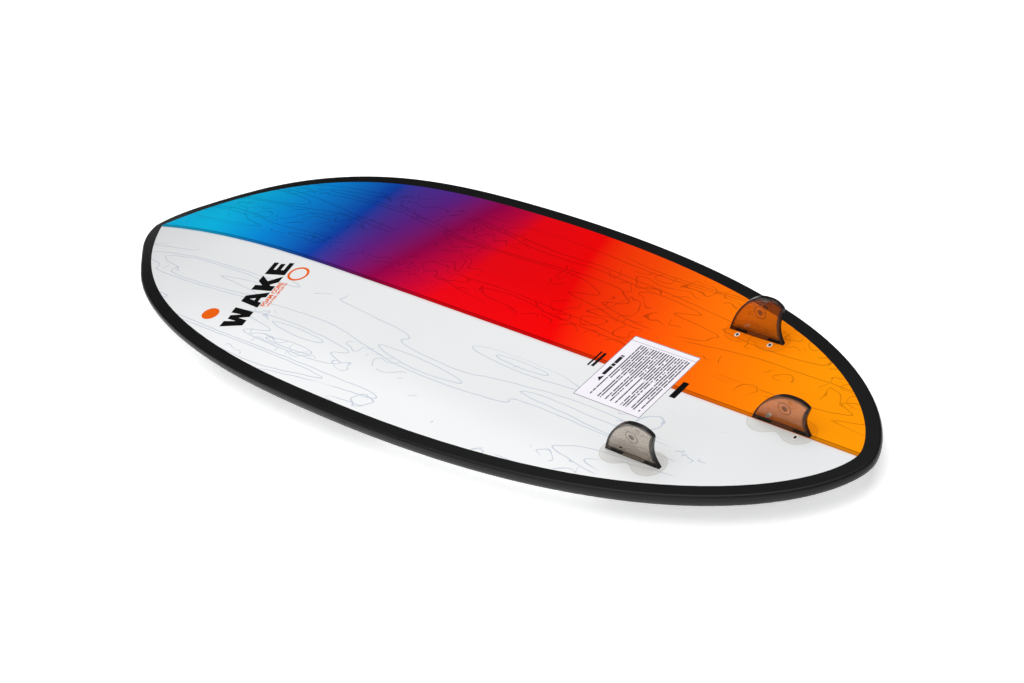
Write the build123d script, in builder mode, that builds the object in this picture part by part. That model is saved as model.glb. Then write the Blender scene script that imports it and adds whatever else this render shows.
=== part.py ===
"""Finned surf-style wake board, resting deck down: foam halves, stringer, skins, rail, fins, pads.

Frame: +X towards the nose, +Y towards the plain half, +Z out of the running surface.
Origin under the middle of the board, on the plane it rests on.
"""

from build123d import *
import os
from math import atan2, cos, degrees, exp, hypot, pi, radians, sin

os.makedirs("parts", exist_ok=True)

# overall size
HALF_LENGTH = 825.0
BAND = 24.5
HALF_INNER = HALF_LENGTH - BAND
HALF_WIDTH_INNER = 287.8
HALF_WIDTH = HALF_WIDTH_INNER + BAND
RAIL_THICKNESS = 21.0
NOSE_THINNING = 8.0
TAIL_THINNING = 3.0
CROWN = 23.0
LIFT = 69.22

# rocker, measured down from the flat spot of the running surface
FLAT_SPOT_X = 276.7
NOSE_ROCKER = 51.3
NOSE_POWER = 2.27
TAIL_ROCKER = 13.74
TAIL_POWER = 1.86

# sheet and strip thicknesses
SKIN = 1.2
STRINGER = 4.0
PAD = 5.0

# rail band: depth of its cross-section, tuck of both edges, rounding of the sharper upper edge
RAIL_ROOT = 48.0
RAIL_TUCK = 2.0
RAIL_EDGE = 3.0
RAIL_APEX = 0.35

# inner outline, one half: Bezier control points from nose to widest point to tail
WIDEST_X = 19.2
NOSE_CURVE = [(HALF_INNER, 0), (574.0, 297.5), (188.9, HALF_WIDTH_INNER), (WIDEST_X, HALF_WIDTH_INNER)]
TAIL_CURVE = [(WIDEST_X, HALF_WIDTH_INNER), (-674.1, HALF_WIDTH_INNER), (-HALF_INNER, 50.8), (-HALF_INNER, 0)]

# fins and their boxes
SIDE_FIN_X = -517.5
SIDE_FIN_Y = 163.8
SIDE_CANT = 4.5
CENTRE_FIN_X = -670.0
FIN_BASE = 101.0
SIDE_FIN_HEIGHT = 79.0
CENTRE_FIN_HEIGHT = 65.0
FIN_HALF_EDGE = 3.0
FIN_HALF_BULGE = 1.0
FIN_GAP = 0.3
TAB_PITCH = 62.7
TAB_LENGTH = 24.0
TAB_THICKNESS = 6.2
TAB_DEPTH = 13.0
SLOT_SIDE_GAP = 0.1
SLOT_END_GAP = 0.3
SLOT_DEPTH = 13.6
LOBE_PITCH = 59.0
LOBE_RADIUS = 27.5
WAIST = 34.0
FLANGE = 3.0
BARREL_RADIUS = 17.0
BOX_DEPTH = 18.0

# M5 grub screws, leaning 45 degrees onto the tabs
SCREW_RADIUS = 2.5
SCREW_LENGTH = 10.0
SCREW_TIP_RADIUS = 0.3
SCREW_PITCH = 61.3
SCREW_LEAN = 45.0
SCREW_APEX_DEPTH = 8.5
BORE_RADIUS = 2.55
HEX_ACROSS_CORNERS = 2.9
HEX_DEPTH = 2.8
INSERT_RADIUS = 4.0
INSERT_START = 4.6

# soft pads on the deck side, with a raised kick at the tail
FRONT_PAD_X = (-60.0, 380.0)
TAIL_PAD_X = (-762.0, -470.0)
PAD_REACH = 262.0
PAD_INSET = 22.0
PAD_CORNER = 14.0
ARCH_HALF_WIDTH = 42.0
PAD_GROOVE = 5.0
KICK_PROFILE = [(-728.0, 0), (-702.0, 0), (-671.0, 17.0), (-655.0, 60.0), (-728.0, 60.0)]
KICK_HALF_WIDTH = 60.0

# printed information label
LABEL_CENTRE = (-406.2, 5.0)
LABEL_LENGTH = 129.3
LABEL_WIDTH = 163.5


def rocker(x):
    """Height of the running surface on the centre line."""
    if x > FLAT_SPOT_X:
        return -NOSE_ROCKER * ((x - FLAT_SPOT_X) / (HALF_INNER - FLAT_SPOT_X)) ** NOSE_POWER
    return -TAIL_ROCKER * ((FLAT_SPOT_X - x) / (HALF_INNER + FLAT_SPOT_X)) ** TAIL_POWER


def bottom_height(x, y):
    """Running surface: rocker plus a shallow concave that deepens towards the tail."""
    share = min(max((x + HALF_INNER) / (2 * HALF_INNER), 0), 1)
    concave = 1.17 * sin(pi * share) ** 2 + 14.9 * max(1 - share / 0.35, 0) ** 2
    return LIFT + rocker(x) + concave * (y / HALF_WIDTH_INNER) ** 2


def deck_height(x, y):
    """Deck surface: thin rails, thinner still at the nose, and a crown that is highest amidships."""
    reach = (x / HALF_LENGTH) ** 2
    rail = RAIL_THICKNESS - (NOSE_THINNING if x > 0 else TAIL_THINNING) * reach
    crown = CROWN * (1 - reach - (y / HALF_WIDTH) ** 2)
    return LIFT + rocker(x) - rail - crown


def grid_face(height, shift=0.0):
    """Smooth face through a height function, over an area larger than the board."""
    columns = [-880 + 40 * i for i in range(45)]
    rows = [-360 + 60 * j for j in range(13)]
    points = [[(x, y, height(x, y) + shift) for x in columns] for y in rows]
    return Face.make_surface_from_array_of_points(points, tol=0.01, min_deg=3, max_deg=5)


def slab_below(height, top, depth):
    """Solid hanging below a height function."""
    return extrude(grid_face(height, top), amount=depth, dir=(0, 0, -1))


def slab_above(height, base, rise):
    """Solid standing above a height function."""
    return extrude(grid_face(height, base), amount=rise, dir=(0, 0, 1))


def curve_point(curve, t, outward=0.0):
    """Point on a cubic Bezier, moved outward along its normal."""
    weights = ((1 - t) ** 3, 3 * (1 - t) ** 2 * t, 3 * (1 - t) * t**2, t**3)
    x, y = (sum(w * p[i] for w, p in zip(weights, curve)) for i in (0, 1))
    slopes = (3 * (1 - t) ** 2, 6 * (1 - t) * t, 3 * t**2)
    dx, dy = (sum(w * (curve[n + 1][i] - curve[n][i]) for n, w in enumerate(slopes)) for i in (0, 1))
    size = hypot(dx, dy)
    return (x + outward * dy / size, y - outward * dx / size)


def half_outline(outward):
    """Points of one half of the outline, grown or shrunk by the given distance."""
    nose = [curve_point(NOSE_CURVE, t, outward) for t in (0.0, 0.1, 0.22, 0.35, 0.5, 0.7, 0.9)]
    tail = [curve_point(TAIL_CURVE, t, outward) for t in (0.1, 0.3, 0.5, 0.65, 0.78, 0.88, 0.95)]
    return nose + tail


below_bottom = slab_below(bottom_height, 0, 160)
above_deck = slab_above(deck_height, 0, 160)
below_bottom_skin = slab_below(bottom_height, -SKIN, 160)
above_deck_skin = slab_above(deck_height, SKIN, 160)
bottom_sheet = slab_below(bottom_height, 0, SKIN)
deck_sheet = slab_above(deck_height, 0, SKIN)
label_sheet = slab_above(bottom_height, 0, 0.25)
pad_sheet = slab_below(deck_height, 0, PAD)
fin_room = slab_above(bottom_height, FIN_GAP, 200)
below_pads = slab_below(deck_height, -PAD, 200)

with BuildPart() as inner_prism:
    with BuildSketch(Plane.XY.offset(-60)):
        with BuildLine():
            Bezier(*NOSE_CURVE)
            Bezier(*TAIL_CURVE)
            Bezier(*[(x, -y) for x, y in NOSE_CURVE])
            Bezier(*[(x, -y) for x, y in TAIL_CURVE])
        make_face()
    extrude(amount=260)


def rail_section(x, y):
    """Frame and corners of the rail cross-section that ends at one point of the outline."""
    inward = Vector(0.8 * x - x, -y, 0).normalized()
    outward = inward * -1
    plane = Plane((x, y, 0), x_dir=outward, z_dir=(outward.Y, -outward.X, 0))
    root = Vector(x, y, 0) + inward * RAIL_ROOT
    top, low = bottom_height(x, y), deck_height(x, y)
    corners = [
        (-RAIL_ROOT, bottom_height(root.X, root.Y)),
        (-RAIL_TUCK, top),
        (0, top - (top - low) * RAIL_APEX),
        (-RAIL_TUCK, low),
        (-RAIL_ROOT, deck_height(root.X, root.Y)),
    ]
    return plane, corners


def rounded(before, corner, after, setback):
    """Start, control and end points of a smooth curve that rounds one corner."""
    corner = Vector(*corner)
    start = corner + (Vector(*before) - corner).normalized() * setback
    end = corner + (Vector(*after) - corner).normalized() * setback
    return start, corner, end


# rail band all round: cross-sections from nose to tail, then mirrored to the other half
with BuildPart() as rail_half:
    for point in [(HALF_LENGTH, 0), *half_outline(BAND), (-HALF_LENGTH, 0)]:
        section_plane, corners = rail_section(*point)
        depth = corners[1][1] - corners[3][1]
        setbacks = (RAIL_EDGE, 0.12 * depth, min(12.0, 0.4 * depth))
        rounds = [rounded(*corners[n : n + 3], setbacks[n]) for n in range(3)]
        with BuildSketch(section_plane):
            with BuildLine():
                Line(corners[0], rounds[0][0])
                Bezier(*rounds[0])
                Line(rounds[0][2], rounds[1][0])
                Bezier(*rounds[1])
                Line(rounds[1][2], rounds[2][0])
                Bezier(*rounds[2])
                Line(rounds[2][2], corners[4])
                Line(corners[4], corners[0])
            make_face()
    loft()

with BuildPart() as rail_band:
    add(rail_half.part)
    mirror(about=Plane.XZ)
    add(inner_prism.part, mode=Mode.SUBTRACT)


def box_plane(x, y, cant):
    """Local frame of a fin box: X forward along the surface, Z along the fin, leaning outward."""
    slope = degrees(atan2(bottom_height(x - 40, y) - bottom_height(x + 40, y), 80))
    lean = -cant if y > 0 else cant
    return Plane((x, y, bottom_height(x, y)), x_dir=(1, 0, 0), z_dir=(0, 0, 1)).rotated((lean, slope, 0))


PLACES = {
    "left": (box_plane(SIDE_FIN_X, -SIDE_FIN_Y, SIDE_CANT), (1, 1), SIDE_FIN_HEIGHT),
    "right": (box_plane(SIDE_FIN_X, SIDE_FIN_Y, SIDE_CANT), (-1, -1), SIDE_FIN_HEIGHT),
    "centre": (box_plane(CENTRE_FIN_X, 0, 0), (-1, 1), CENTRE_FIN_HEIGHT),
}


def screw_plane(place, forward, side):
    """Frame at a screw tip, Z along the screw towards its socket."""
    lateral = TAB_THICKNESS / 2 + SLOT_SIDE_GAP + SCREW_TIP_RADIUS * cos(radians(SCREW_LEAN))
    tip = place.from_local_coords((forward * SCREW_PITCH / 2, side * lateral, -SCREW_APEX_DEPTH))
    lean = radians(SCREW_LEAN)
    along = place.from_local_coords(Vector(0, side * sin(lean), cos(lean))) - place.origin
    return Plane(tip, x_dir=place.x_dir, z_dir=along)


def box_envelope(place):
    """Room a fin box takes up: two-lobed flange and a barrel under each lobe."""
    with BuildPart() as room:
        with BuildSketch(place.offset(-FLANGE)):
            with Locations((-LOBE_PITCH / 2, 0), (LOBE_PITCH / 2, 0)):
                Circle(LOBE_RADIUS)
            Rectangle(LOBE_PITCH, WAIST)
        extrude(amount=FLANGE + 8)
        with BuildSketch(place.offset(-BOX_DEPTH)):
            with Locations((-LOBE_PITCH / 2, 0), (LOBE_PITCH / 2, 0)):
                Circle(BARREL_RADIUS)
            Rectangle(LOBE_PITCH, 14)
        extrude(amount=BOX_DEPTH)
    return room.part


envelopes = {key: box_envelope(place) for key, (place, _, _) in PLACES.items()}
screw_frames = {
    key: [screw_plane(place, 1, sides[0]), screw_plane(place, -1, sides[1])]
    for key, (place, sides, _) in PLACES.items()
}

# foam halves either side of the stringer
for name, side in (("core_left", -1), ("core_right", 1)):
    with BuildPart() as core:
        with BuildSketch(Plane.XY.offset(-60)):
            with Locations((0, side * (STRINGER / 2 + 200))):
                Rectangle(2 * HALF_LENGTH, 400)
        extrude(amount=260)
        add(inner_prism.part, mode=Mode.INTERSECT)
        add(below_bottom_skin, mode=Mode.INTERSECT)
        add(above_deck_skin, mode=Mode.INTERSECT)
        add(envelopes["left" if side < 0 else "right"], mode=Mode.SUBTRACT)
        add(envelopes["centre"], mode=Mode.SUBTRACT)
    core.part.label = name
    export_step(core.part, "parts/" + name + ".step")

with BuildPart() as stringer:
    with BuildSketch(Plane.XY.offset(-60)):
        Rectangle(2 * HALF_LENGTH, STRINGER)
    extrude(amount=260)
    add(inner_prism.part, mode=Mode.INTERSECT)
    add(below_bottom_skin, mode=Mode.INTERSECT)
    add(above_deck_skin, mode=Mode.INTERSECT)
    add(envelopes["centre"], mode=Mode.SUBTRACT)

with BuildPart() as bottom_skin:
    add(bottom_sheet)
    add(inner_prism.part, mode=Mode.INTERSECT)
    for envelope in envelopes.values():
        add(envelope, mode=Mode.SUBTRACT)

with BuildPart() as deck_skin:
    add(deck_sheet)
    add(inner_prism.part, mode=Mode.INTERSECT)

# printed information label on the running surface, behind the middle
with BuildPart() as info_label:
    with BuildSketch(Plane.XY.offset(-60)):
        with Locations(LABEL_CENTRE):
            RectangleRounded(LABEL_LENGTH, LABEL_WIDTH, 1.5)
    extrude(amount=260)
    add(label_sheet, mode=Mode.INTERSECT)

for key, (place, sides, height) in PLACES.items():
    scale_z = height / SIDE_FIN_HEIGHT

    # box with two tab slots, two leaning screw bores and pockets for the threaded inserts
    with BuildPart() as fin_box:
        add(envelopes[key])
        add(below_bottom, mode=Mode.INTERSECT)
        with BuildSketch(place.offset(10)):
            with Locations((-TAB_PITCH / 2, 0), (TAB_PITCH / 2, 0)):
                Rectangle(TAB_LENGTH + 2 * SLOT_END_GAP, TAB_THICKNESS + 2 * SLOT_SIDE_GAP)
        extrude(amount=-10 - SLOT_DEPTH, mode=Mode.SUBTRACT)
        for frame in screw_frames[key]:
            with BuildSketch(frame.offset(-0.2)):
                Circle(BORE_RADIUS)
            extrude(amount=20, mode=Mode.SUBTRACT)
            with BuildSketch(frame.offset(INSERT_START)):
                Circle(INSERT_RADIUS)
            extrude(amount=16, mode=Mode.SUBTRACT)
    fin_box.part.label = "fin_box_" + key
    export_step(fin_box.part, "parts/fin_box_" + key + ".step")

    # threaded inserts moulded into the box, flush with the running surface
    with BuildPart() as inserts:
        for frame in screw_frames[key]:
            with BuildSketch(frame.offset(INSERT_START)):
                Circle(INSERT_RADIUS)
                Circle(BORE_RADIUS, mode=Mode.SUBTRACT)
            extrude(amount=16)
        add(below_bottom, mode=Mode.INTERSECT)
    inserts.part.label = "inserts_" + key
    export_step(inserts.part, "parts/inserts_" + key + ".step")

    # cone-point grub screws
    for end, frame in zip(("front", "rear"), screw_frames[key]):
        with BuildPart() as grub_screw:
            with BuildSketch(Plane.XZ):
                with BuildLine():
                    Polyline(
                        (0, 0),
                        (SCREW_TIP_RADIUS, 0),
                        (SCREW_RADIUS, SCREW_RADIUS - SCREW_TIP_RADIUS),
                        (SCREW_RADIUS, SCREW_LENGTH - 0.5),
                        (SCREW_RADIUS - 0.5, SCREW_LENGTH),
                        (0, SCREW_LENGTH),
                        close=True,
                    )
                make_face()
            revolve(axis=Axis.Z)
            with BuildSketch(Plane.XY.offset(SCREW_LENGTH)):
                RegularPolygon(HEX_ACROSS_CORNERS / 2, 6)
            extrude(amount=-HEX_DEPTH, mode=Mode.SUBTRACT)
        placed = frame.location * grub_screw.part
        placed.label = "grub_screw_" + key + "_" + end
        export_step(placed, "parts/grub_screw_" + key + "_" + end + ".step")

    # blade: raked outline given a foil by two bulged faces, cut to sit on the running surface
    def half_thickness(x, z):
        rise = max(z, 0) / SIDE_FIN_HEIGHT
        middle = 4 - 18 * rise - 10 * rise**2
        chord = FIN_BASE - 30 * rise**2
        spread = (x - middle) / chord
        return FIN_HALF_EDGE + FIN_HALF_BULGE * (1 - 0.35 * rise) * exp(-7 * spread**2)

    blade_faces = []
    for side in (-1, 1):
        points = [
            [(x, side * half_thickness(x, z), z * scale_z) for x in range(-90, 81, 10)]
            for z in range(-20, 101, 10)
        ]
        face = Face.make_surface_from_array_of_points(points, tol=0.01, min_deg=3, max_deg=5)
        blade_faces.append(extrude(face, amount=10, dir=(0, -side, 0)))

    with BuildPart() as fin:
        with BuildSketch(Plane.XZ.offset(-8)):
            with BuildLine():
                leading = Spline(
                    (FIN_BASE / 2, 0),
                    (29, 42.5 * scale_z),
                    (-6, 74.5 * scale_z),
                    (-30, SIDE_FIN_HEIGHT * scale_z),
                    tangents=[(-0.4, 1), (-1, 0)],
                )
                tip = Spline(
                    leading @ 1,
                    (-48.5, 73.2 * scale_z),
                    (-54, 64 * scale_z),
                    tangents=[(-1, 0), (0.2, -1)],
                )
                trailing = Spline(
                    tip @ 1,
                    (-47.5, 45 * scale_z),
                    (-44.3, 26 * scale_z),
                    (-FIN_BASE / 2, 0),
                    tangents=[(0.3, -1), (-0.45, -1)],
                )
                Polyline((-FIN_BASE / 2, 0), (-54, -12), (56, -12), (FIN_BASE / 2, 0))
            make_face()
        extrude(amount=16)
        for blade_face in blade_faces:
            add(blade_face, mode=Mode.INTERSECT)
    blade = place.location * fin.part
    with BuildPart() as placed_fin:
        add(blade)
        add(fin_room, mode=Mode.INTERSECT)
        with BuildSketch(place.offset(3)):
            with Locations((-TAB_PITCH / 2, 0), (TAB_PITCH / 2, 0)):
                Rectangle(TAB_LENGTH, TAB_THICKNESS)
        extrude(amount=-3 - TAB_DEPTH)
    placed_fin.part.label = "fin_" + key
    export_step(placed_fin.part, "parts/fin_" + key + ".step")


# soft traction pads on the deck side
def pad_outline(inset):
    """Prism of the whole outline shrunk by an inset."""
    with BuildPart() as prism:
        with BuildSketch(Plane.XY.offset(-60)):
            with BuildLine():
                ends = (HALF_INNER - 2 * inset, 0), (-HALF_INNER + inset, 0)
                edge = Spline(ends[0], *half_outline(-inset)[1:], ends[1])
                mirror(edge, about=Plane.XZ)
            make_face()
        extrude(amount=260)
    return prism.part


def pad_piece(x_range, y_range, outline):
    """One pad: a rounded rectangle cut to the shrunken outline and laid on the deck."""
    with BuildPart() as piece:
        with BuildSketch(Plane.XY.offset(-60)):
            with Locations(((x_range[0] + x_range[1]) / 2, (y_range[0] + y_range[1]) / 2)):
                RectangleRounded(x_range[1] - x_range[0], y_range[1] - y_range[0], PAD_CORNER)
        extrude(amount=260)
        add(outline, mode=Mode.INTERSECT)
        add(pad_sheet, mode=Mode.INTERSECT)
    return piece.part


PADS = {
    "front_pad_left": (FRONT_PAD_X, (-PAD_REACH, -PAD_GROOVE / 2)),
    "front_pad_right": (FRONT_PAD_X, (PAD_GROOVE / 2, PAD_REACH)),
    "tail_pad_left": (TAIL_PAD_X, (-PAD_REACH, -ARCH_HALF_WIDTH - PAD_GROOVE)),
    "tail_pad_centre": (TAIL_PAD_X, (-ARCH_HALF_WIDTH, ARCH_HALF_WIDTH)),
    "tail_pad_right": (TAIL_PAD_X, (ARCH_HALF_WIDTH + PAD_GROOVE, PAD_REACH)),
}
pad_edge = pad_outline(PAD_INSET)
for name, (x_range, y_range) in PADS.items():
    pad = pad_piece(x_range, y_range, pad_edge)
    pad.label = name
    export_step(pad, "parts/" + name + ".step")

# raised kick at the back of the tail pad, its crest flat where the board rests
with BuildPart() as tail_kick:
    with BuildSketch(Plane.XZ.offset(-KICK_HALF_WIDTH)):
        with BuildLine():
            Polyline(*KICK_PROFILE, close=True)
        make_face()
    extrude(amount=2 * KICK_HALF_WIDTH)
    add(pad_edge, mode=Mode.INTERSECT)
    add(below_pads, mode=Mode.INTERSECT)

for name, piece in (
    ("stringer", stringer),
    ("bottom_skin", bottom_skin),
    ("deck_skin", deck_skin),
    ("rail_band", rail_band),
    ("info_label", info_label),
    ("tail_kick", tail_kick),
):
    piece.part.label = name
    export_step(piece.part, "parts/" + name + ".step")
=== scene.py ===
"""Looks for a finned wake surf board lying deck down: materials, prints, deck pads, light, camera."""
import math

import bmesh
import bpy
from mathutils import Matrix, Vector
from mathutils.bvhtree import BVHTree


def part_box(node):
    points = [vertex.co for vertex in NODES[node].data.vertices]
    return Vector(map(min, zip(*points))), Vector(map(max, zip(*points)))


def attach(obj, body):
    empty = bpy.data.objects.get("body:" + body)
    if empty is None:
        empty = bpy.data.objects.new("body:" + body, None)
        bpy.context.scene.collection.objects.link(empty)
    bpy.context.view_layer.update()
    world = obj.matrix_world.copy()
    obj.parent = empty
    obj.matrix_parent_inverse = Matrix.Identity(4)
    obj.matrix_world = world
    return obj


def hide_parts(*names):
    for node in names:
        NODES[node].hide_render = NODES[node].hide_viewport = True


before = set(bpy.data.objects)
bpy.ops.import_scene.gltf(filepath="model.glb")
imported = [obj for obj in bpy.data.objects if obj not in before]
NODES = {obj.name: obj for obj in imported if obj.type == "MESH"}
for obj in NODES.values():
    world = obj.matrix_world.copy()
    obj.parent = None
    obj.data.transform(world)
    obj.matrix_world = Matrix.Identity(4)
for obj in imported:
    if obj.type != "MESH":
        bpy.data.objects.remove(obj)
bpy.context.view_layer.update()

# board sizes, in metres, from the frame: whole board, running surface, height at the flat spot
SKIN_THICKNESS = 0.0012
HALF_LENGTH, HALF_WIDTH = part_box("rail_band")[1][:2]
HALF_INNER, HALF_WIDTH_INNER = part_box("bottom_skin")[1][:2]
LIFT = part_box("stringer")[1][2] + SKIN_THICKNESS

# running surface and deck, as in the CAD
FLAT_SPOT_X = 0.2767
NOSE_ROCKER, NOSE_POWER = 0.0513, 2.27
TAIL_ROCKER, TAIL_POWER = 0.01374, 1.86
CONCAVE, TAIL_CONCAVE, TAIL_CONCAVE_SHARE = 0.00117, 0.0149, 0.35
RAIL_THICKNESS, NOSE_THINNING, TAIL_THINNING = 0.021, 0.008, 0.003
CROWN = 0.023
PAD = 0.005


def rocker(x):
    """Height of the running surface on the centre line, down from its flat spot."""
    if x > FLAT_SPOT_X:
        return -NOSE_ROCKER * ((x - FLAT_SPOT_X) / (HALF_INNER - FLAT_SPOT_X)) ** NOSE_POWER
    return -TAIL_ROCKER * ((FLAT_SPOT_X - x) / (HALF_INNER + FLAT_SPOT_X)) ** TAIL_POWER


def bottom_height(x, y):
    """Running surface: rocker plus a shallow concave that deepens towards the tail."""
    share = min(max((x + HALF_INNER) / (2 * HALF_INNER), 0.0), 1.0)
    concave = CONCAVE * math.sin(math.pi * share) ** 2
    concave += TAIL_CONCAVE * max(1 - share / TAIL_CONCAVE_SHARE, 0.0) ** 2
    return LIFT + rocker(x) + concave * (y / HALF_WIDTH_INNER) ** 2


def deck_height(x, y):
    """Deck side: the rail's thickness plus a dome that fades out at the rail."""
    reach = (x / HALF_LENGTH) ** 2
    rail = RAIL_THICKNESS - (NOSE_THINNING if x > 0 else TAIL_THINNING) * reach
    return LIFT + rocker(x) - rail - CROWN * (1 - reach - (y / HALF_WIDTH) ** 2)


SIDE_FIN_HEIGHT, CENTRE_FIN_HEIGHT = 0.0790, 0.0650


def fin_place(key, height):
    """Middle of a fin's base, where its box is, and the fin's height."""
    low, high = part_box("fin_box_" + key)
    across = 0.0 if key == "centre" else (low[1] + high[1]) / 2
    return (low[0] + high[0]) / 2, across, height


FIN_PLACES = {
    "left": fin_place("left", SIDE_FIN_HEIGHT),
    "right": fin_place("right", SIDE_FIN_HEIGHT),
    "centre": fin_place("centre", CENTRE_FIN_HEIGHT),
}
# how far a side fin leans out for each metre of its height
CANT_SLOPE = 0.0787

# two-lobed outline of a fin box
LOBE_PITCH = 0.059
LOBE_RADIUS = 0.0275
WAIST_HALF = 0.015


# ---------------------------------------------------------------- material helpers

BLACK_PAINT = (0.0, 0.0, 0.0, 1.0)


def linear(r, g, b):
    """Screen colour (0 to 255) to linear, with alpha."""
    out = [c / 255 / 12.92 if c <= 10 else ((c / 255 + 0.055) / 1.055) ** 2.4 for c in (r, g, b)]
    return (*out, 1.0)


class Graph:
    """Small wrapper that makes node trees read like formulas."""

    def __init__(self, name):
        self.material = bpy.data.materials.new(name)
        self.material.use_nodes = True
        self.tree = self.material.node_tree
        self.tree.nodes.clear()
        self.x = None

    def put(self, socket, value):
        if isinstance(value, bpy.types.NodeSocket):
            self.tree.links.new(value, socket)
        elif value is not None:
            socket.default_value = value

    def node(self, kind, inputs=None, out=0, **settings):
        made = self.tree.nodes.new("ShaderNode" + kind)
        for key, value in settings.items():
            setattr(made, key, value)
        for key, value in (inputs or {}).items():
            self.put(made.inputs[key], value)
        return made.outputs[out]

    def math(self, operation, a, b=None, c=None, clamp=False):
        return self.node("Math", {0: a, 1: b, 2: c}, operation=operation, use_clamp=clamp)

    def add(self, a, b):
        return self.math("ADD", a, b)

    def sub(self, a, b):
        return self.math("SUBTRACT", a, b)

    def mul(self, a, b):
        return self.math("MULTIPLY", a, b)

    def absolute(self, a):
        return self.math("ABSOLUTE", a)

    def step(self, value, start, end, low=0.0, high=1.0):
        """Smooth step of value from low at start to high at end."""
        return self.node(
            "MapRange", {0: value, 1: start, 2: end, 3: low, 4: high}, interpolation_type="SMOOTHSTEP"
        )

    def mix(self, share, a, b, blend="MIX"):
        made = self.tree.nodes.new("ShaderNodeMix")
        made.data_type = "RGBA"
        made.blend_type = blend
        self.put(made.inputs[0], share)
        self.put(made.inputs[6], a)
        self.put(made.inputs[7], b)
        return made.outputs[2]

    def ramp(self, value, stops):
        made = self.tree.nodes.new("ShaderNodeValToRGB")
        elements = made.color_ramp.elements
        while len(elements) < len(stops):
            elements.new(0.5)
        for element, (place, colour) in zip(elements, stops):
            element.position = place
            element.color = colour
        self.put(made.inputs[0], value)
        return made.outputs[0]

    def place(self):
        """Object coordinates, split into X, Y, Z."""
        if self.x is None:
            vector = self.node("TexCoord", out=3)
            split = self.tree.nodes.new("ShaderNodeSeparateXYZ")
            self.put(split.inputs[0], vector)
            self.x, self.y, self.z = split.outputs
        return self.x, self.y, self.z

    def vec(self, x, y, z=0.0):
        return self.node("CombineXYZ", {0: x, 1: y, 2: z})

    def noise(self, vector, scale, detail=2.0, rough=0.5):
        return self.node(
            "TexNoise", {"Vector": vector, "Scale": scale, "Detail": detail, "Roughness": rough}
        )

    def bump(self, height, strength, distance):
        return self.node("Bump", {"Height": height, "Strength": strength, "Distance": distance})

    def finish(self, **inputs):
        """Principled surface; underscores in names stand for spaces."""
        shader = self.node("BsdfPrincipled", {k.replace("_", " "): v for k, v in inputs.items()})
        self.surface(shader)
        return self.material

    def surface(self, shader):
        out = self.tree.nodes.new("ShaderNodeOutputMaterial")
        self.tree.links.new(shader, out.inputs[0])


# ---------------------------------------------------------------- board paint

SEAM_Y = 0.0046
# sprayed colours of the graded half, each where it is purest, nose to tail
PAINTS = {
    "cyan": (0.66, (0, 180, 225)),
    "azure": (0.50, (0, 130, 210)),
    "blue": (0.36, (10, 60, 160)),
    "violet": (0.28, (90, 30, 125)),
    "wine": (0.19, (140, 0, 70)),
    "red": (0.04, (230, 0, 15)),
    "scarlet": (-0.21, (240, 0, 0)),
    "orange": (-0.36, (250, 70, 0)),
    "amber": (-0.72, (255, 150, 0)),
}


def contour(g, field, levels, half_width, low_slope, pair=0.0):
    """Lines of even width where a field crosses even levels, or pairs of lines about each level."""
    eps = 0.0008
    here = g.mul(field(0.0, 0.0), levels)
    slope_x = g.mul(g.sub(g.mul(field(eps, 0.0), levels), here), 1 / eps)
    slope_y = g.mul(g.sub(g.mul(field(0.0, eps), levels), here), 1 / eps)
    slope = g.math("SQRT", g.add(g.mul(slope_x, slope_x), g.mul(slope_y, slope_y)))
    off = g.absolute(g.sub(g.math("FRACT", here), 0.5))
    if pair:
        off = g.absolute(g.sub(off, pair))
    away = g.math("DIVIDE", off, g.math("MAXIMUM", slope, low_slope))
    line = g.step(away, half_width * 0.7, half_width * 1.5, 1.0, 0.0)
    return g.mul(line, g.step(slope, low_slope * 0.3, low_slope * 0.5))


def art_lines(g):
    """Thin outlines: long double lines along the board, knobbly peaks, and chains of cells."""
    x, y, _ = g.place()
    warp = g.mul(g.sub(g.noise(g.vec(x, g.mul(y, 1.4), 3.1), 26.0, 2.0, 0.6), 0.5), 0.030)
    bend = g.mul(g.sub(g.noise(g.vec(x, y, 6.3), 30.0, 0.4), 0.5), 0.040)

    def long_field(dx, dy):
        across = g.add(g.add(y, dy), g.mul(warp, 0.16))
        return g.noise(g.vec(g.mul(g.add(x, dx), 0.12), across, 1.7), 19.0, 0.6)

    def knobbly_field(dx, dy):
        across = g.add(g.add(y, dy), warp)
        return g.noise(g.vec(g.mul(g.add(g.add(x, dx), warp), 0.75), across, 9.4), 12.0, 1.0, 0.4)

    def cell_field(dx, dy):
        at = g.vec(g.mul(g.add(g.add(x, dx), bend), 0.62), g.add(g.add(y, dy), g.mul(bend, 0.8)), 0.0)
        return g.node(
            "TexVoronoi", {"Vector": at, "Scale": 30.0, "Smoothness": 0.5},
            feature="SMOOTH_F1", voronoi_dimensions="2D",
        )

    long_lines = contour(g, long_field, 3.4, 0.0008, 6.0, 0.12)
    knobbly = contour(g, knobbly_field, 2.2, 0.0008, 13.0)
    cells = contour(g, cell_field, 1.0, 0.0008, 11.0, 0.15)
    where = g.noise(g.vec(g.mul(x, 0.8), g.mul(y, 1.8), 7.7), 5.0, 1.0)
    patch = g.noise(g.vec(x, g.mul(y, 2.4), 4.2), 6.0, 1.0)
    coloured = g.step(y, 0.02, -0.02, 0.0, 0.13)
    long_lines = g.mul(long_lines, g.step(where, 0.42, 0.47))
    knobbly = g.mul(knobbly, g.step(where, 0.55, 0.53))
    cells = g.mul(cells, g.step(g.add(patch, coloured), 0.642, 0.650))
    return g.math("MAXIMUM", g.math("MAXIMUM", long_lines, knobbly), cells)


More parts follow.
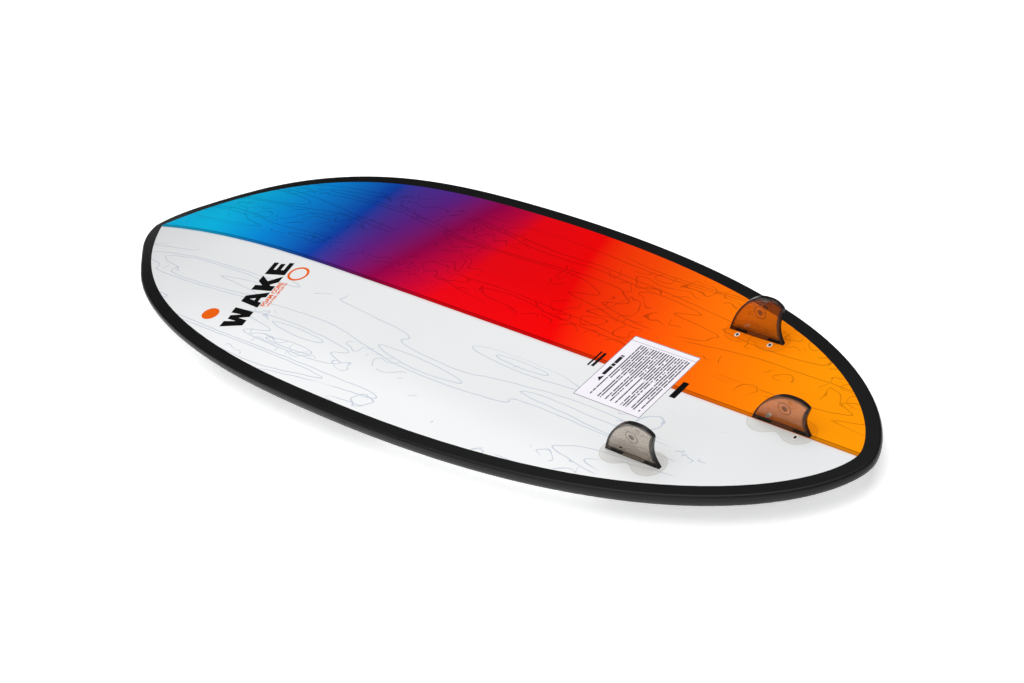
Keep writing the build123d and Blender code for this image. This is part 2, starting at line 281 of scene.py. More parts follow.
def box_shadow(g):
    """How much of a two-lobed fin box shows through at each point, and its outline."""
    x, y, _ = g.place()

    def distance(along, across):
        lobe_x = g.sub(g.absolute(along), LOBE_PITCH / 2)
        radius = g.math("SQRT", g.add(g.mul(lobe_x, lobe_x), g.mul(across, across)))
        waist = g.math("MAXIMUM", g.sub(g.absolute(across), WAIST_HALF), lobe_x)
        return g.math("SMOOTH_MIN", g.sub(radius, LOBE_RADIUS), waist, 0.012)

    side, centre = FIN_PLACES["left"], FIN_PLACES["centre"]
    near = distance(g.sub(x, side[0]), g.sub(g.absolute(y), -side[1]))
    middle = distance(g.sub(x, centre[0]), y)
    away = g.math("MINIMUM", near, middle)
    inside = g.step(away, -0.0008, 0.0004, 1.0, 0.0)
    outline = g.step(g.absolute(g.add(away, 0.0004)), 0.0003, 0.0013, 1.0, 0.0)
    return inside, outline


def board_paint(g):
    """Colour of the running surface: plain half, graded half, seam, stringer shadow and line art, with
    painted shade on the far side of the graded half and painted light near the rail of the plain half.
    """
    x, y, _ = g.place()
    far = g.sub(g.mul(y, -1.0), 0.03)
    front_slant = g.mul(g.mul(g.step(x, 0.34, 0.20), g.step(x, -0.04, 0.08)), -0.28)
    tilt = g.mul(far, g.add(front_slant, g.step(x, 0.02, -0.20, 0.0, 0.48)))
    along = g.sub(x, tilt)
    place = g.math("DIVIDE", g.sub(0.80, along), 1.60, clamp=True)
    graded = g.ramp(place, [((0.80 - at) / 1.60, linear(*colour)) for at, colour in PAINTS.values()])
    mottle = g.noise(g.vec(x, y, 0.3), 6.0, 3.0)
    # painted shade: the graded half turns darker towards its far rail, except near the tail
    painted_far_shade = g.mul(g.mul(g.step(far, 0.01, 0.10), g.step(x, -0.42, -0.25)), 0.09)
    graded = g.mix(g.add(g.mul(mottle, 0.04), painted_far_shade), graded, BLACK_PAINT)

    plain = g.mix(mottle, linear(221, 222, 223), linear(229, 230, 230))
    # painted light: the plain half turns lighter towards its rail, fading out towards the nose
    painted_rail_light = g.mul(g.step(y, 0.15, 0.24), g.step(x, 0.55, 0.30))
    plain = g.mix(g.mul(painted_rail_light, 0.5), plain, linear(243, 243, 244))

    lines = art_lines(g)
    on_plain = g.step(y, 0.045, 0.070)
    left = g.mul(y, -1.0)
    on_graded = g.mul(g.step(left, 0.025, 0.05), g.step(left, 0.235, 0.26, 1.0, 0.0))
    plain = g.mix(g.mul(g.mul(lines, on_plain), 0.85), plain, linear(186, 195, 208))
    graded = g.mix(g.mul(g.mul(lines, on_graded), 0.36), graded, BLACK_PAINT)

    # stringer seen through the coloured half, then the thin bright seam
    middle = g.absolute(g.sub(y, 0.0004))
    band = g.step(middle, 0.0034, 0.0052, 1.0, 0.0)
    rims = g.mul(g.step(g.absolute(g.sub(middle, 0.0032)), 0.0003, 0.0014, 1.0, 0.0), 0.4)
    graded = g.mix(g.math("MINIMUM", g.add(g.mul(band, 0.34), rims), 0.6), graded, BLACK_PAINT)
    wobble = g.mul(g.sub(g.noise(g.vec(x, 0.0, 5.0), 30.0, 2.0), 0.5), 0.0010)
    side = g.sub(y, g.add(wobble, SEAM_Y))
    glow = g.mix(0.62, graded, plain)
    plain = g.mix(g.step(side, 0.0004, 0.0060, 0.55, 0.0), plain, glow)
    is_plain = g.step(side, -0.0005, 0.0005)
    inside, outline = box_shadow(g)
    cloud = g.noise(g.vec(x, y, 2.0), 60.0, 3.0)
    graded_share = g.add(g.mul(inside, 0.10), g.mul(outline, 0.22))
    graded = g.mix(graded_share, graded, linear(150, 40, 0))
    plain_share = g.add(g.mul(inside, g.add(g.mul(cloud, 0.2), 0.34)), g.mul(outline, 0.40))
    plain = g.mix(plain_share, plain, linear(190, 187, 180))
    return g.mix(is_plain, graded, plain)


def gloss_coat(g, colour):
    """Glossy coat over a colour, with a faint ripple."""
    x, y, z = g.place()
    ripple = g.noise(g.vec(x, y, z), 22.0, 2.0)
    return g.finish(
        Base_Color=colour,
        Roughness=g.add(g.mul(ripple, 0.05), 0.12),
        Specular_IOR_Level=0.35,
        Normal=g.bump(ripple, 0.03, 0.001),
        Coat_Weight=0.08,
        Coat_Roughness=0.05,
    )


def skin_material():
    g = Graph("printed_laminate")
    return gloss_coat(g, board_paint(g))


def rail_material():
    g = Graph("satin_black_rail")
    x, y, z = g.place()
    wide = g.noise(g.vec(x, y, z), 14.0, 3.0)
    fine = g.noise(g.vec(x, y, z), 1400.0, 2.0, 0.7)
    scuff = g.noise(g.vec(g.mul(x, 3.0), g.mul(y, 3.0), g.mul(z, 24.0)), 16.0, 4.0, 0.7)
    marks = g.step(scuff, 0.68, 0.80)
    colour = g.mix(wide, (0.0042, 0.0042, 0.0044, 1.0), (0.0065, 0.0065, 0.0068, 1.0))
    colour = g.mix(g.mul(marks, 0.3), colour, (0.016, 0.016, 0.0165, 1.0))
    rough = g.add(g.mul(wide, 0.08), g.add(g.mul(marks, 0.06), 0.40))
    return g.finish(
        Base_Color=colour, Roughness=rough, Specular_IOR_Level=0.22, Normal=g.bump(fine, 0.08, 0.0004)
    )


def fin_material(key):
    """Smoke-tinted clear plastic with a ring and dot, and painted shade at the rim, along the base and
    in bands inside the thick edges.
    """
    g = Graph("smoke_tinted_plastic_" + key)
    at_x, at_y, height = FIN_PLACES[key]
    base = bottom_height(at_x, at_y)
    slope = (bottom_height(at_x + 0.04, at_y) - bottom_height(at_x - 0.04, at_y)) / 0.08
    x, y, z = g.place()
    rise = g.sub(z, g.add(g.mul(g.sub(x, at_x), slope), base))
    normal = g.node("NewGeometry", out=1)
    split = g.tree.nodes.new("ShaderNodeSeparateXYZ")
    g.put(split.inputs[0], normal)
    flat = g.absolute(split.outputs[1])
    # painted shade: the rims and bevels, which don't face across the fin, turn dark, and so does a thin
    # line along the base of the side faces
    rim = g.mul(g.step(flat, 0.95, 0.78), g.step(rise, 0.0012, 0.0026))
    foot = g.mul(g.step(rise, 0.0010, 0.0018, 1.0, 0.0), g.step(flat, 0.2, 0.5))

    # painted shade for the thick edges seen through the faces: a band inside the trailing edge, a thin
    # one inside the rest
    tall = g.mul(rise, SIDE_FIN_HEIGHT / height)
    along = g.sub(x, at_x)
    trailing = g.add(g.mul(g.sub(0.439, g.mul(tall, 7.71)), tall), -0.0505)
    behind = g.sub(along, trailing)
    band = g.step(behind, 0.0030, 0.0048, 1.0, 0.0)
    ahead = g.add(along, 0.030)
    out_x = g.math("MAXIMUM", g.mul(ahead, 1 / 0.0805), g.mul(ahead, -1 / 0.058))
    out_x = g.math("POWER", out_x, 1.8)
    out_z = g.math("POWER", g.math("MAXIMUM", g.mul(tall, 1 / SIDE_FIN_HEIGHT), 0.0), 1.32)
    top = g.step(g.add(out_x, out_z), 0.925, 0.965)
    band = g.math("MAXIMUM", band, g.mul(top, 0.8))

    ring_x = g.sub(along, -0.012)
    ring_z = g.sub(rise, 0.62 * height)
    radius = g.math("SQRT", g.add(g.mul(ring_x, ring_x), g.mul(ring_z, ring_z)))
    ring = g.step(g.absolute(g.sub(radius, 0.0105)), 0.0004, 0.0010, 1.0, 0.0)
    dot = g.step(radius, 0.0046, 0.0052, 1.0, 0.0)
    lean = math.copysign(CANT_SLOPE, at_y) if at_y else 0.0
    faces_right = g.step(g.sub(g.sub(y, at_y), g.mul(rise, lean)), 0.0, 0.0005)
    ring = g.mul(g.math("MAXIMUM", ring, dot), faces_right)

    streak = g.noise(g.vec(x, y, z), 9.0, 1.0)
    low = g.step(rise, 0.0, 0.035, 0.90, 1.0)
    tint = g.mix(streak, (0.785, 0.735, 0.68, 1.0), (0.825, 0.78, 0.73, 1.0))
    tint = g.mix(1.0, tint, g.node("CombineColor", {0: low, 1: low, 2: low}), "MULTIPLY")
    clear = g.node("BsdfTransparent", {0: tint})
    fill = g.node("BsdfDiffuse", {0: (0.10, 0.075, 0.055, 1.0)})
    body = g.node("MixShader", {0: 0.05, 1: clear, 2: fill})
    shine = g.node("BsdfGlossy", {0: (1.0, 1.0, 1.0, 1.0), 1: 0.07})
    fresnel = g.node("Fresnel", {0: 1.45})
    body = g.node("MixShader", {0: g.mul(fresnel, 0.32), 1: body, 2: shine})
    # one dark diffuse for the painted shade bands and for the ring and dot
    dark_print_and_painted_shade = g.node("BsdfDiffuse", {0: (0.035, 0.036, 0.038, 1.0)})
    dark = g.math("MAXIMUM", g.mul(band, 0.80), g.mul(ring, 0.60))
    body = g.node("MixShader", {0: dark, 1: body, 2: dark_print_and_painted_shade})
    # painted shade: an opaque dark surface laid over the rims and the base line
    edge = g.node(
        "BsdfPrincipled",
        {"Base Color": (0.006, 0.006, 0.006, 1.0), "Roughness": 0.28, "Specular IOR Level": 0.22},
    )
    g.surface(g.node("MixShader", {0: g.mul(g.math("MAXIMUM", rim, foot), 0.92), 1: body, 2: edge}))
    return g.material


def insert_material():
    g = Graph("white_insert_plastic")
    x, y, z = g.place()
    speck = g.noise(g.vec(x, y, z), 700.0, 2.0)
    colour = g.mix(speck, linear(214, 210, 202), linear(244, 242, 238))
    rough = g.add(g.mul(speck, 0.1), 0.38)
    return g.finish(Base_Color=colour, Roughness=rough, Normal=g.bump(speck, 0.1, 0.0003))


def screw_material():
    g = Graph("dark_screw_steel")
    x, y, z = g.place()
    speck = g.noise(g.vec(x, y, z), 1500.0, 3.0)
    colour = g.mix(speck, (0.028, 0.028, 0.03, 1.0), (0.07, 0.07, 0.075, 1.0))
    rough = g.add(g.mul(speck, 0.2), 0.34)
    return g.finish(
        Base_Color=colour, Metallic=0.9, Roughness=rough, Normal=g.bump(speck, 0.15, 0.0002)
    )


def wood_material():
    g = Graph("stringer_ply")
    x, y, z = g.place()
    grain = g.noise(g.vec(g.mul(x, 0.4), g.mul(y, 6.0), g.mul(z, 9.0)), 60.0, 4.0)
    colour = g.mix(grain, linear(150, 108, 66), linear(196, 158, 108))
    return g.finish(Base_Color=colour, Roughness=0.6, Normal=g.bump(grain, 0.3, 0.0005))


def foam_material():
    g = Graph("bead_foam")
    cells = g.node("TexVoronoi", {"Vector": g.node("TexCoord", out=3), "Scale": 420.0})
    colour = g.mix(cells, linear(244, 244, 240), linear(226, 226, 220))
    return g.finish(Base_Color=colour, Roughness=0.85, Normal=g.bump(cells, 0.4, 0.0008))


def deck_material():
    g = Graph("deck_laminate")
    x, y, _ = g.place()
    weave = g.noise(g.vec(x, y, 0.0), 14.0, 3.0)
    colour = g.mix(weave, linear(222, 224, 226), linear(236, 236, 236))
    dark = g.step(g.absolute(y), 0.0022, 0.0036, 0.28, 0.0)
    colour = g.mix(dark, colour, linear(120, 96, 70))
    return gloss_coat(g, colour)


def pad_material():
    g = Graph("brushed_pad_foam")
    x, y, z = g.place()
    fine = g.noise(g.vec(x, y, z), 1600.0, 3.0, 0.7)
    broad = g.noise(g.vec(x, y, z), 18.0, 3.0)
    colour = g.mix(fine, linear(34, 35, 37), linear(58, 59, 62))
    colour = g.mix(g.mul(broad, 0.3), colour, linear(26, 27, 29))
    return g.finish(
        Base_Color=colour, Roughness=0.86, Specular_IOR_Level=0.25, Normal=g.bump(fine, 0.5, 0.0005)
    )


# edges of the label, and its printed block as shares of it
LABEL_LOW, LABEL_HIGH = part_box("info_label")
LABEL_LONG, LABEL_WIDE = LABEL_HIGH[0] - LABEL_LOW[0], LABEL_HIGH[1] - LABEL_LOW[1]
TEXT_ROWS = 20.0
TEXT_U = (0.17, 0.94)
HEADING_U = 0.105


def within(g, value, middle, half, soft):
    """1 where value is nearer than half to middle, fading out over soft."""
    return g.step(g.absolute(g.sub(value, middle)), half, half + soft, 1.0, 0.0)


def label_material():
    """White printed film: thin frame, heading bar, triangle and rows of broken bars, no lettering."""
    g = Graph("printed_label")
    x, y, _ = g.place()
    u = g.math("DIVIDE", g.sub(LABEL_HIGH[0], x), LABEL_LONG)
    v = g.math("DIVIDE", g.sub(LABEL_HIGH[1], y), LABEL_WIDE)
    edge_u = g.mul(g.sub(0.5, g.absolute(g.sub(u, 0.5))), LABEL_LONG)
    edge_v = g.mul(g.sub(0.5, g.absolute(g.sub(v, 0.5))), LABEL_WIDE)
    to_edge = g.math("MINIMUM", edge_u, edge_v)
    frame_line = g.mul(g.step(to_edge, 0.0, 0.0004), g.step(to_edge, 0.0009, 0.0014, 1.0, 0.0))

    # rows of broken bars, each row ending at its own place
    row = g.mul(g.sub(u, TEXT_U[0]), TEXT_ROWS / (TEXT_U[1] - TEXT_U[0]))
    bar = within(g, g.math("FRACT", row), 0.5, 0.21, 0.06)
    number = g.math("FLOOR", row)
    dashes = g.noise(g.vec(g.mul(y, 230.0), g.mul(number, 7.3), 2.0), 1.0, 2.0)
    ends = g.noise(g.vec(g.mul(number, 3.7), 0.0, 4.0), 1.0, 0.0)
    reach = g.add(g.step(ends, 0.30, 0.50, 0.0, 0.42), 0.50)
    row_end = g.step(g.sub(1.0, v), reach, g.add(reach, 0.01), 1.0, 0.0)
    inside = g.mul(g.step(v, 0.055, 0.06), g.mul(g.step(v, 0.90, 0.905, 1.0, 0.0), row_end))
    top_edge = g.step(u, TEXT_U[0], TEXT_U[0] + 0.002)
    last_edge = g.step(u, TEXT_U[1] - 0.005, TEXT_U[1], 1.0, 0.0)
    inside = g.mul(inside, g.mul(top_edge, last_edge))
    text = g.mul(g.mul(bar, g.step(dashes, 0.36, 0.42)), inside)

    # heading bar with gaps, and a small triangle before it
    gaps = g.step(g.noise(g.vec(g.mul(y, 150.0), 1.0, 6.0), 1.0, 0.0), 0.36, 0.40)
    heading = g.mul(within(g, u, HEADING_U, 0.024, 0.004), within(g, v, 0.53, 0.16, 0.005))
    tip = g.mul(g.sub(0.135, u), 0.8)
    sides = g.sub(g.absolute(g.sub(v, 0.31)), g.sub(0.045, tip))
    triangle = g.mul(g.step(sides, -0.002, 0.002, 1.0, 0.0), within(g, u, HEADING_U, 0.030, 0.004))
    heading = g.math("MAXIMUM", g.mul(heading, gaps), triangle)

    rule = g.mul(within(g, v, 0.93, 0.0020, 0.0015), 0.7)
    ink = g.math("MAXIMUM", heading, g.math("MAXIMUM", frame_line, rule))
    ink = g.math("MAXIMUM", g.mul(text, 0.95), ink)
    mottle = g.noise(g.vec(x, y, 0.0), 40.0, 2.0)
    paper = g.mix(mottle, linear(232, 227, 236), linear(240, 236, 243))
    colour = g.mix(ink, paper, linear(26, 26, 28))
    return g.finish(
        Base_Color=colour, Roughness=0.38, Specular_IOR_Level=0.35, Normal=g.bump(ink, 0.05, 0.0002)
    )


def ink_material(name, colour):
    g = Graph(name)
    x, y, z = g.place()
    speck = g.noise(g.vec(x, y, z), 240.0, 2.0)
    dark = g.mix(1.0, colour, (0.82, 0.82, 0.82, 1.0), "MULTIPLY")
    return gloss_coat(g, g.mix(speck, dark, colour))


MATERIALS = {
    "bottom_skin": skin_material(),
    "deck_skin": deck_material(),
    "rail_band": rail_material(),
    "info_label": label_material(),
    "stringer": wood_material(),
}
for key in FIN_PLACES:
    MATERIALS["fin_" + key] = fin_material(key)
    MATERIALS["fin_box_" + key] = MATERIALS["bottom_skin"]
FOAM, FOAM_PAD = foam_material(), pad_material()
PREFIXES = (("core_", FOAM), ("inserts_", insert_material()), ("grub_screw_", screw_material()))


def give(obj, material):
    obj.data.materials.clear()
    obj.data.materials.append(material)


for name, obj in NODES.items():
    material = MATERIALS.get(name)
    if material is None:
        material = next((m for prefix, m in PREFIXES if name.startswith(prefix)), FOAM_PAD)
    give(obj, material)


def soften(obj, width, segments=2, angle=35.0):
    """Bevelled edges, so that every rim catches light."""
    bevel = obj.modifiers.new("edge", "BEVEL")
    bevel.width = width
    bevel.segments = segments
    bevel.limit_method = "ANGLE"
    bevel.angle_limit = math.radians(angle)
    bevel.harden_normals = False


for key in FIN_PLACES:
    soften(NODES["fin_" + key], 0.0022, 3)
    soften(NODES["inserts_" + key], 0.0002)
    for end in ("front", "rear"):
        soften(NODES["grub_screw_" + key + "_" + end], 0.00015)

# ---------------------------------------------------------------- pads on the deck side

def flat_outline(node):
    """Outer face of a CAD pad as one flat bmesh face."""
    bm = bmesh.new()
    bm.from_mesh(NODES[node].data)
    bmesh.ops.remove_doubles(bm, verts=bm.verts, dist=1e-6)
    bm.normal_update()
    drop = [f for f in bm.faces if f.normal.z > -0.7]
    bmesh.ops.delete(bm, geom=drop, context="FACES")
    for vert in bm.verts:
        vert.co.z = 0.0
    bmesh.ops.dissolve_faces(bm, faces=bm.faces[:])
    return bm


def piece(name, bm, material, replaced):
    """Mesh object on the board that stands in for a CAD pad."""
    mesh = bpy.data.meshes.new(name)
    bm.to_mesh(mesh)
    bm.free()
    obj = bpy.data.objects.new(name, mesh)
    bpy.context.scene.collection.objects.link(obj)
    give(obj, material)
    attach(obj, "board")
    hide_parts(replaced)
    return obj


def groove_lines(low, high, pitch):
    first = math.ceil(low / pitch)
    last = math.floor(high / pitch)
    return [n * pitch for n in range(first, last + 1)]


def build_pad(node, pitch_x, pitch_y, lean, groove=0.0016, depth=0.0014, border=0.005):
    """Grooved pad with a sloped border, laid on the domed deck."""
    low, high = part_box(node)
    bm = flat_outline(node)
    tag = bm.verts.layers.int.new("rim")
    height = bm.verts.layers.float.new("height")
    bmesh.ops.inset_region(
        bm, faces=bm.faces[:], thickness=border, use_boundary=True, use_even_offset=True
    )
    rim = {v for e in bm.edges if e.is_boundary for v in e.verts}
    for vert in rim:
        vert[tag] = 1
    reach = (high - low).length
    middle = (low + high) / 2
    for angle, pitch in ((lean, pitch_x), (-lean, pitch_y)):
        direction = Vector((math.cos(angle), math.sin(angle), 0.0))
        for at in groove_lines(-reach / 2, reach / 2, pitch):
            for side in (-groove / 2, groove / 2):
                faces = [f for f in bm.faces if all(v[tag] == 0 for v in f.verts)]
                edges = (e for f in faces for e in f.edges)
                verts = (v for f in faces for v in f.verts)
                geometry = list({*faces, *edges, *verts})
                place = middle + direction * (at + side)
                bmesh.ops.bisect_plane(bm, geom=geometry, dist=1e-7, plane_co=place, plane_no=direction)
    bm.faces.ensure_lookup_table()

    def in_groove(point):
        for angle, pitch in ((lean, pitch_x), (-lean, pitch_y)):
            direction = Vector((math.cos(angle), math.sin(angle), 0.0))
            off = (point - middle).dot(direction) / pitch
            if abs(off - round(off)) * pitch < groove / 2:
                return True
        return False

    cells = []
    for face in bm.faces:
        point = face.calc_center_median()
        point.z = 0.0
        if all(v[tag] == 0 for v in face.verts) and not in_groove(Vector((point.x, point.y, middle.z))):
            cells.append(face)
    for vert in bm.verts:
        vert[height] = 0.0016 if vert[tag] else PAD - depth
    made = bmesh.ops.extrude_discrete_faces(bm, faces=cells)
    for face in made["faces"]:
        centre = face.calc_center_median()
        for vert in face.verts:
            vert[height] = PAD
            vert.co += (centre - vert.co) * 0.03
    for vert in bm.verts:
        z = deck_height(vert.co.x, vert.co.y)
        vert.co.z = z - vert[height]
    # close the back against the deck
    edges = [e for e in bm.edges if e.is_boundary]
    made = bmesh.ops.extrude_edge_only(bm, edges=edges)
    new = [v for v in made["geom"] if isinstance(v, bmesh.types.BMVert)]
    for vert in new:
        vert.co.z = deck_height(vert.co.x, vert.co.y) - 0.0001
    loop = [e for e in made["geom"] if isinstance(e, bmesh.types.BMEdge) and e.is_boundary]
    bmesh.ops.contextual_create(bm, geom=loop)
    bmesh.ops.recalc_face_normals(bm, faces=bm.faces[:])
    return piece(node + "_grooved", bm, FOAM_PAD, node)


DIAMOND = math.radians(32)
for pad in ("front_pad_left", "front_pad_right", "tail_pad_left", "tail_pad_right"):
    build_pad(pad, 0.013, 0.013, DIAMOND)
build_pad("tail_pad_centre", 0.012, 0.012, math.radians(45), border=0.006)


KICK_LOW, KICK_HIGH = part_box("tail_kick")
KICK_X = (KICK_LOW[0], KICK_HIGH[0])
KICK_HALF_WIDTH = KICK_HIGH[1]


# side view of the kick: end of the crest, foot of the steep front, and the drop of each slope
KICK_CREST_X, KICK_FRONT_X = -0.702, -0.671
KICK_RAMP, KICK_FRONT, KICK_FRONT_RUN = 0.017, 0.043, 0.016


def kick_height(x):
    """Underside of the kick along the board: flat crest, gentle ramp, steep front."""
    if x < KICK_CREST_X:
        return 0.0
    if x < KICK_FRONT_X:
        return KICK_RAMP * (x - KICK_CREST_X) / (KICK_FRONT_X - KICK_CREST_X)
    return KICK_RAMP + KICK_FRONT * (x - KICK_FRONT_X) / KICK_FRONT_RUN


def build_kick(rib=0.0075, groove=0.0020, depth=0.0011, round_over=0.006):
    """Ribbed foam kick: ribs run across the board, and every free edge is rounded over."""
    columns = []
    at = KICK_X[0]
    for step in (0.0, 0.0006, 0.0016, 0.0030, 0.0045):
        columns.append((at + step, False))
    at += round_over
    while at < KICK_X[1]:
        columns += [(at, False), (at + rib - groove, False), (at + rib - groove / 2, True)]
        at += rib
    columns = [(x, cut) for x, cut in columns if x < KICK_X[1] - 0.0004] + [(KICK_X[1], False)]
    half_rows = [KICK_HALF_WIDTH - d for d in (0.0, 0.0006, 0.0016, 0.0030, 0.0045, 0.006)]
    half_rows += [0.045, 0.030, 0.015]
    rows = half_rows + [0.0] + [-y for y in reversed(half_rows)]
    bm = bmesh.new()
    grid = []
    for x, cut in columns:
        line = []
        for y in rows:
            top = deck_height(x, y) - PAD
            z = kick_height(x)
            for inside in (x - KICK_X[0], KICK_HALF_WIDTH - abs(y)):
                if inside < round_over:
                    short = round_over - inside
                    z += round_over - math.sqrt(round_over**2 - short**2)
            deep = depth if cut and abs(y) < KICK_HALF_WIDTH - 0.004 else 0.0
            line.append(bm.verts.new((x, y, min(z + deep, top - 0.0002))))
        grid.append(line)
    for a, b in zip(grid, grid[1:]):
        for n in range(len(rows) - 1):
            bm.faces.new((a[n], a[n + 1], b[n + 1], b[n]))
    edges = [e for e in bm.edges if e.is_boundary]
    made = bmesh.ops.extrude_edge_only(bm, edges=edges)
    for vert in (v for v in made["geom"] if isinstance(v, bmesh.types.BMVert)):
        vert.co.z = deck_height(vert.co.x, vert.co.y) - PAD + 0.0008
    loop = [e for e in made["geom"] if isinstance(e, bmesh.types.BMEdge) and e.is_boundary]
    bmesh.ops.contextual_create(bm, geom=loop)
    bmesh.ops.recalc_face_normals(bm, faces=bm.faces[:])
    return piece("tail_kick_ribbed", bm, FOAM_PAD, "tail_kick")


build_kick()


# ---------------------------------------------------------------- stage, light, camera

def soft_light(name, place, target, size, power):
    """Rectangular area light aimed at a point."""
    data = bpy.data.lights.new(name, "AREA")
    data.shape = "RECTANGLE"
    data.size, data.size_y = size
    data.energy = power
    light = bpy.data.objects.new(name, data)
    light.location = place
    light.rotation_euler = (Vector(target) - Vector(place)).to_track_quat("-Z", "Y").to_euler()
    bpy.context.scene.collection.objects.link(light)


FLOOR_GLOW = 0.42
WORLD_STRENGTH, WORLD_STRENGTH_GLOSSY = 0.30, 0.025


def floor_material():
    g = Graph("pale_floor")
    x, y, z = g.place()
    cloud = g.noise(g.vec(x, y, z), 1.5, 2.0)
    colour = g.mix(cloud, (0.93, 0.93, 0.93, 1.0), (0.96, 0.96, 0.96, 1.0))
    return g.finish(
        Base_Color=colour,
        Roughness=0.9,
        Specular_IOR_Level=0.0,
        Emission_Color=colour,
        Emission_Strength=FLOOR_GLOW,
    )


bpy.ops.mesh.primitive_plane_add(size=40.0, location=(0.0, 0.0, -0.0005))
floor = bpy.context.object
floor.name = "floor"
give(floor, floor_material())

soft_light("overhead", (-0.1, 0.3, 3.6), (0.0, 0.0, 0.0), (4.2, 4.2), 146.0)
soft_light("near_side", (-0.2, 3.2, 1.5), (0.0, 0.1, 0.0), (3.0, 1.4), 24.0)

world = bpy.data.worlds.new("studio")
world.use_nodes = True
background = world.node_tree.nodes["Background"]
background.inputs[0].default_value = (0.97, 0.98, 1.0, 1.0)
light_path = world.node_tree.nodes.new("ShaderNodeLightPath")
strength = world.node_tree.nodes.new("ShaderNodeMapRange")
strength.inputs[3].default_value = WORLD_STRENGTH
strength.inputs[4].default_value = WORLD_STRENGTH_GLOSSY
world.node_tree.links.new(light_path.outputs["Is Glossy Ray"], strength.inputs[0])
world.node_tree.links.new(strength.outputs[0], background.inputs[1])
scene = bpy.context.scene
scene.world = world
scene.view_settings.view_transform = "Standard"
scene.view_settings.look = "None"

CAMERA_PLACE = Vector((-1.9153, 1.5963, 1.7366))
AZIMUTH, ELEVATION, ROLL = math.radians(138.13), math.radians(35.40), math.radians(13.44)
SENSOR, LENS = 36.0, 61.945
away = Vector(
    (
        math.cos(ELEVATION) * math.cos(AZIMUTH),
        math.cos(ELEVATION) * math.sin(AZIMUTH),
        math.sin(ELEVATION),
    )
)
right = away.cross(Vector((0.0, 0.0, -1.0))).normalized()
up = away.cross(right)
turned_right = right * math.cos(ROLL) - up * math.sin(ROLL)
turned_up = right * math.sin(ROLL) + up * math.cos(ROLL)
camera_data = bpy.data.cameras.new("camera")
camera_data.sensor_width = SENSOR
camera_data.lens = LENS
camera = bpy.data.objects.new("camera", camera_data)
turn = Matrix((turned_right, turned_up, away)).transposed()
camera.matrix_world = Matrix.Translation(CAMERA_PLACE) @ turn.to_4x4()
scene.collection.objects.link(camera)
scene.camera = camera

# ---------------------------------------------------------------- printed marks

def skin_tree():
    mesh = NODES["bottom_skin"].data
    return BVHTree.FromPolygons([v.co for v in mesh.vertices], [p.vertices for p in mesh.polygons])


SKIN = skin_tree()
PRINT_LIFT = 0.00012
CUT_PITCH, CUTS = 0.012, 70


def on_skin(x, y):
    hit, _, _, _ = SKIN.ray_cast(Vector((x, y, 0.3)), Vector((0.0, 0.0, -1.0)))
    return Vector((x, y, hit.z + PRINT_LIFT))


def lay_on_skin(name, bm, material):
    """Flat printed shape, cut fine and laid on the running surface."""
    for step in range(-CUTS, CUTS + 1):
        for direction in (Vector((1, 0, 0)), Vector((0, 1, 0))):
            geometry = bm.faces[:] + bm.edges[:] + bm.verts[:]
            place = direction * step * CUT_PITCH
            bmesh.ops.bisect_plane(bm, geom=geometry, plane_co=place, plane_no=direction)
    for vert in bm.verts:
        vert.co = on_skin(vert.co.x, vert.co.y)
    bm.normal_update()
    for face in bm.faces:
        if face.normal.z < 0:
            face.normal_flip()
    mesh = bpy.data.meshes.new(name)
    bm.to_mesh(mesh)
    bm.free()
    obj = bpy.data.objects.new(name, mesh)
    scene.collection.objects.link(obj)
    give(obj, material)
    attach(obj, "board")
    return obj


def printed(name, shapes, material):
    """Printed polygons, given as outlines in board coordinates."""
    bm = bmesh.new()
    for outline in shapes:
        bm.faces.new([bm.verts.new((x, y, 0.0)) for x, y in outline])
    return lay_on_skin(name, bm, material)


LINE_LEAN = math.atan2(0.290, 0.957)


def written(centre, width, height, along, up):
    """Board point of a position in a line of print, -0.5 to 0.5 both ways, read with the nose up."""
    along, up = along * width, up * height
    return (
        centre[0] + along * math.sin(LINE_LEAN) + up * math.cos(LINE_LEAN),
        centre[1] - along * math.cos(LINE_LEAN) + up * math.sin(LINE_LEAN),
    )


def small_words(name, words, centre, width, height):
    """Plain generic words in the built-in typeface, scaled to a width and height."""
    curve = bpy.data.curves.new(name, "FONT")
    curve.body = words
    curve.offset = 0.035
    text = bpy.data.objects.new(name, curve)
    scene.collection.objects.link(text)
    bpy.context.view_layer.update()
    mesh = bpy.data.meshes.new_from_object(text)
    bpy.data.objects.remove(text)
    bm = bmesh.new()
    bm.from_mesh(mesh)
    low = [min(v.co[i] for v in bm.verts) for i in (0, 1)]
    high = [max(v.co[i] for v in bm.verts) for i in (0, 1)]
    for vert in bm.verts:
        along = (vert.co.x - low[0]) / (high[0] - low[0]) - 0.5
        up = (vert.co.y - low[1]) / (high[1] - low[1]) - 0.5
        x, y = written(centre, width, height, along, up)
        vert.co = (x, y, 0.0)
    return lay_on_skin(name, bm, ORANGE)


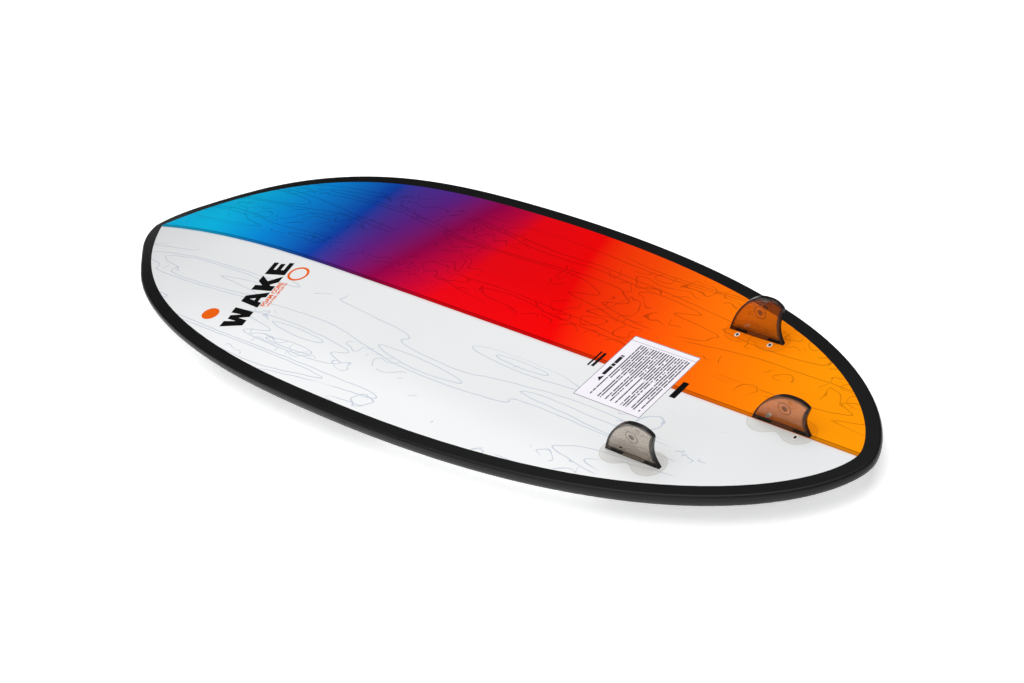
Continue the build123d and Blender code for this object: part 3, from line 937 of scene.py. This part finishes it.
# heavy plain capitals, each as polygons in a box one unit high
HALF_A = [
    (0, 0), (0.33, 1), (0.525, 1), (0.525, 0.70), (0.45, 0.42),
    (0.525, 0.42), (0.525, 0.2), (0.39, 0.2), (0.33, 0),
]
CAPITALS = {
    "W": (1.30, [[(0, 1), (0.36, 1), (0.43, 0.46), (0.53, 0.92), (0.77, 0.92), (0.87, 0.46), (0.94, 1),
                  (1.30, 1), (1.10, 0), (0.76, 0), (0.65, 0.46), (0.54, 0), (0.20, 0)]]),
    "A": (1.05, [HALF_A, [(1.05 - x, y) for x, y in HALF_A]]),
    "K": (1.02, [[(0, 0), (0, 1), (0.34, 1), (0.34, 0.66), (0.62, 1), (1.0, 1), (0.64, 0.55), (1.02, 0),
                  (0.62, 0), (0.41, 0.32), (0.34, 0.25), (0.34, 0)]]),
    "E": (0.86, [[(0, 0), (0, 1), (0.84, 1), (0.84, 0.76), (0.34, 0.76), (0.34, 0.62), (0.77, 0.62),
                  (0.77, 0.39), (0.34, 0.39), (0.34, 0.24), (0.86, 0.24), (0.86, 0)]]),
}


def heavy_word(word, centre, width, height, gap=0.09):
    """Polygons of a word in heavy capitals, in board coordinates."""
    total = sum(CAPITALS[c][0] for c in word) + gap * (len(word) - 1)
    shapes = []
    start = 0.0
    for letter in word:
        wide, polygons = CAPITALS[letter]
        for polygon in polygons:
            shapes.append(
                [written(centre, width, height, (start + x) / total - 0.5, y - 0.5) for x, y in polygon]
            )
        start += wide + gap
    return shapes


def disc(cx, cy, radius, count=40):
    angles = [2 * math.pi * i / count for i in range(count)]
    return [(cx + radius * math.cos(a), cy + radius * math.sin(a)) for a in angles]


def ring(cx, cy, outer, inner, count=40):
    """Ring as a list of quads."""
    quads = []
    for i in range(count):
        a, b = 2 * math.pi * i / count, 2 * math.pi * (i + 1) / count
        quads.append(
            [
                (cx + outer * math.cos(a), cy + outer * math.sin(a)),
                (cx + outer * math.cos(b), cy + outer * math.sin(b)),
                (cx + inner * math.cos(b), cy + inner * math.sin(b)),
                (cx + inner * math.cos(a), cy + inner * math.sin(a)),
            ]
        )
    return quads


BLACK = ink_material("black_print", (0.006, 0.006, 0.006, 1.0))
ORANGE = ink_material("orange_print", linear(238, 98, 16))


def board_at(along, across):
    """Point given as shares of the board's half length and half width."""
    return along * HALF_LENGTH, across * HALF_WIDTH


def cross_bar(along, across, length, width):
    """Plain bar across the board, centred on a point given in shares."""
    x, y = board_at(along, across)
    return [(x + a * width / 2, y + b * length / 2) for a, b in ((-1, -1), (1, -1), (1, 1), (-1, 1))]


printed("nose_word", heavy_word("WAKE", board_at(0.430, 0.410), 0.200, 0.043), BLACK)
small_words("nose_small_word", "FOAM CORE", board_at(0.398, 0.373), 0.072, 0.0100)
small_words("nose_smaller_word", "WATER SPORTS", board_at(0.386, 0.364), 0.072, 0.0052)
printed("nose_dot", [disc(*board_at(0.478, 0.669), 0.0165)], ORANGE)
printed("nose_ring", ring(*board_at(0.400, 0.154), 0.0208, 0.0160), ORANGE)

# two plain bars near the middle of the board, and one shorter, thicker bar nearer the tail
bars = [cross_bar(-0.385, 0.0, 0.038, 0.0035), cross_bar(-0.395, 0.0, 0.036, 0.0055)]
printed("stringer_marks", bars + [cross_bar(-0.589, 0.01, 0.040, 0.011)], BLACK)
